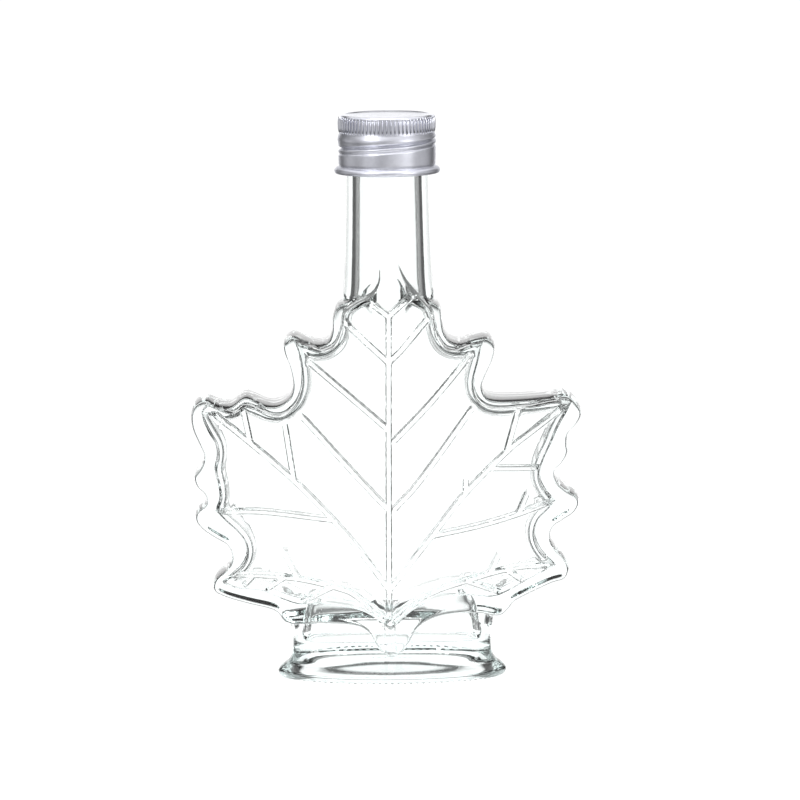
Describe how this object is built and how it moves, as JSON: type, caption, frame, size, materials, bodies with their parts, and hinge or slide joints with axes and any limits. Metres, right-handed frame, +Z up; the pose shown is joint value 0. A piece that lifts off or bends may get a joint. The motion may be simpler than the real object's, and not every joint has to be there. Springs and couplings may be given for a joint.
{
  "type": "maple leaf glass bottle with screw cap",
  "caption": "Empty clear glass bottle shaped like a maple leaf, with a raised veined leaf front, round neck, oval foot and ribbed aluminium screw cap.",
  "frame": {"origin": "middle of the bounding box at its base, on the plane that the foot stands on", "axes": "+Z up along the neck, -Y out of the leaf's veined front, +X across the leaf to the right as its front is seen"},
  "size_m": [0.0974, 0.0324, 0.1409],
  "materials": {
    "glass": "clear, colourless, smooth",
    "aluminium": "satin"
  },
  "bodies": {
    "root": {"bottle": "glass", "cap": "aluminium"}
  },
  "joints": []
}
